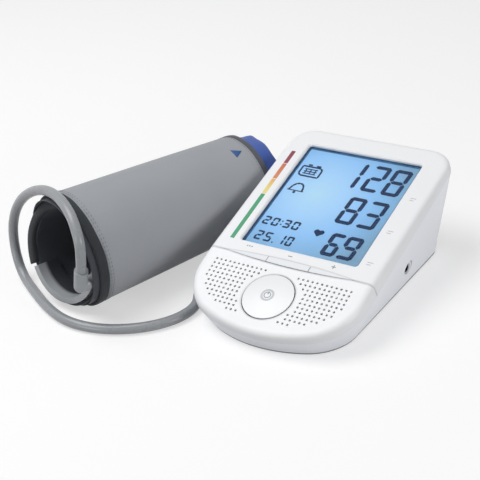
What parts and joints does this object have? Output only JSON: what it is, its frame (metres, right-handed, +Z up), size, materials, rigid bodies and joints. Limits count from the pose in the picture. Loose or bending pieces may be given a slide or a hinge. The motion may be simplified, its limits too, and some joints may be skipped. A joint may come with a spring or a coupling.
{
  "type": "talking blood pressure monitor",
  "caption": "Desktop blood pressure monitor with a large sloping display, speaker grilles, keys and a start button, joined by an air hose to its rolled upper-arm cuff.",
  "frame": {"origin": "middle of the monitor's flat underside, on the surface that it stands on", "axes": "+Z up, +Y from the start button towards the display's far edge, +X to the user's right"},
  "size_m": [0.261, 0.1954, 0.0884],
  "materials": {
    "case_white": "fine satin texture",
    "base_grey": "matt",
    "key_grey": "satin",
    "button_white": "satin dome",
    "clear_window": "clear acrylic",
    "display_blue": "lit display",
    "diffuser": "translucent",
    "board_green": "solder mask",
    "switch_black": "matt",
    "screw_steel": "zinc plated",
    "contact_nickel": "nickel plated spring steel",
    "motor_steel": "plated can",
    "inner_white": "natural nylon",
    "inner_black": "matt",
    "cell_label": "plain sleeve",
    "pad_rubber": "matt",
    "tube_rubber": "silicone",
    "hose_grey": "smooth",
    "plug_grey": "satin",
    "cuff_cloth": "brushed nylon",
    "cuff_lining": "coated nylon",
    "cuff_bladder": "soft sheet",
    "cuff_binding": "woven tape",
    "cuff_blue": "woven"
  },
  "bodies": {
    "case": {"display_cover": "case_white", "speaker_cover": "case_white", "main_housing": "case_white", "base_plate": "base_grey", "antislip_pads": "pad_rubber", "case_screws": "screw_steel", "display_lens": "clear_window", "lcd_glass": "display_blue", "backlight": "diffuser", "lcd_frame": "inner_white", "main_board": "board_green", "board_screws": "screw_steel", "button_board": "board_green", "click_switches": "switch_black", "speaker_left": "inner_black", "speaker_right": "inner_black", "pump_head": "inner_white", "pump_motor": "motor_steel", "release_valve": "inner_black", "air_manifold": "inner_white", "air_tubes": "tube_rubber", "pressure_sensor": "inner_black", "dc_socket": "inner_black", "hose_socket": "plug_grey", "battery_1": "cell_label", "battery_2": "cell_label", "battery_3": "cell_label", "battery_4": "cell_label", "battery_contacts": "contact_nickel", "battery_springs": "contact_nickel", "cuff_cover": "cuff_cloth", "cuff_lining": "cuff_lining", "cuff_bladder": "cuff_bladder", "cuff_front_binding": "cuff_binding", "cuff_rear_binding": "cuff_binding", "cuff_blue_band": "cuff_blue", "cuff_nozzle": "plug_grey", "hose_plug": "plug_grey", "air_hose": "hose_grey"},
    "start_button": {"start_button": "button_white"},
    "key_left": {"key_left": "key_grey"},
    "key_middle": {"key_middle": "key_grey"},
    "key_right": {"key_right": "key_grey"},
    "battery_door": {"battery_door": "base_grey"}
  },
  "joints": [
    {"name": "start_button_press", "type": "slide", "parent": "case", "child": "start_button", "axis": [0, 0.3502, -0.9367], "range_m": [0, 0.0008], "stiffness_N_per_m": 400, "springref_m": -0.001},
    {"name": "key_left_press", "type": "slide", "parent": "case", "child": "key_left", "axis": [0, 0.3123, -0.95], "range_m": [0, 0.0007], "stiffness_N_per_m": 150, "springref_m": -0.001},
    {"name": "key_middle_press", "type": "slide", "parent": "case", "child": "key_middle", "axis": [0, 0.3123, -0.95], "range_m": [0, 0.0007], "stiffness_N_per_m": 150, "springref_m": -0.001},
    {"name": "key_right_press", "type": "slide", "parent": "case", "child": "key_right", "axis": [0, 0.3123, -0.95], "range_m": [0, 0.0007], "stiffness_N_per_m": 150, "springref_m": -0.001},
    {"name": "battery_door_swing", "type": "hinge", "parent": "case", "child": "battery_door", "pos_m": [0, 0.00915, 0], "axis": [-1, 0, 0], "range_deg": [0, 40]}
  ]
}
